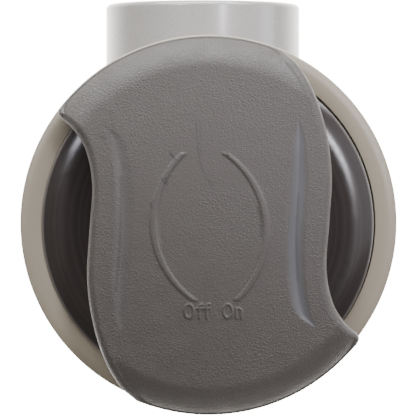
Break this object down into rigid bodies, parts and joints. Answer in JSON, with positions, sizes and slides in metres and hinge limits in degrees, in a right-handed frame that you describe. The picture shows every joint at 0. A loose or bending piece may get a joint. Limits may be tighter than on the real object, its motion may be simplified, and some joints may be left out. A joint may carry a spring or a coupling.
{
  "type": "panel-mounted quarter-turn water valve",
  "caption": "Hand-turned on/off water valve with bottom and side pipe sockets, a panel clamp and a grained two-wing handle over a round trim ring.",
  "frame": {"origin": "centre of the bottom socket's mouth", "axes": "+Z up the spindle axis to the handle, +Y out of the side socket, +X to the right as seen from above with +Y up"},
  "size_m": [0.108, 0.1197, 0.1535],
  "materials": {
    "body_plastic": "satin moulded white",
    "bearing_plastic": "natural low-friction plastic",
    "rotor_plastic": "moulded light grey",
    "seal_rubber": "smooth black",
    "steel": "stainless",
    "dome_plastic": "glossy charcoal",
    "nut_plastic": "moulded white",
    "gasket_rubber": "matte black",
    "trim_plastic": "satin beige",
    "hub_plastic": "moulded dark grey",
    "handle_plastic": "leather-grained matt grey"
  },
  "bodies": {
    "body": {"valve_body": "body_plastic", "seat_ring": "bearing_plastic", "thrust_washer": "bearing_plastic", "spindle_bush": "bearing_plastic", "bonnet_cap": "dome_plastic", "bonnet_oring": "seal_rubber", "collar_nut": "nut_plastic", "panel_gasket": "gasket_rubber", "trim_ring": "trim_plastic"},
    "handle": {"handle_cover": "handle_plastic", "handle_hub": "hub_plastic", "hub_washer": "steel", "hub_screw": "steel", "spindle": "rotor_plastic", "spindle_oring_lower": "seal_rubber", "spindle_oring_upper": "seal_rubber", "rotor_drum": "rotor_plastic", "gate_seal": "seal_rubber", "rotor_pin": "steel"},
    "slip_washer": {"slip_washer": "bearing_plastic"},
    "locknut": {"locknut": "nut_plastic"}
  },
  "joints": [
    {"name": "handle_turn", "type": "hinge", "parent": "body", "child": "handle", "pos_m": [0, 0, 0.12], "axis": [0, 0, 1], "range_deg": [0, 90]},
    {"name": "washer_slide", "type": "slide", "parent": "body", "child": "slip_washer", "axis": [0, 0, 1], "range_m": [-0.0045, 0.00525]},
    {"name": "locknut_turn", "type": "hinge", "parent": "slip_washer", "child": "locknut", "pos_m": [0, 0, 0.109], "axis": [0, 0, 1], "range_deg": [-540, 630]}
  ],
  "couplings": [
    {"joint": "washer_slide", "follows": "locknut_turn", "m_per_rad": 0.00047746}
  ]
}
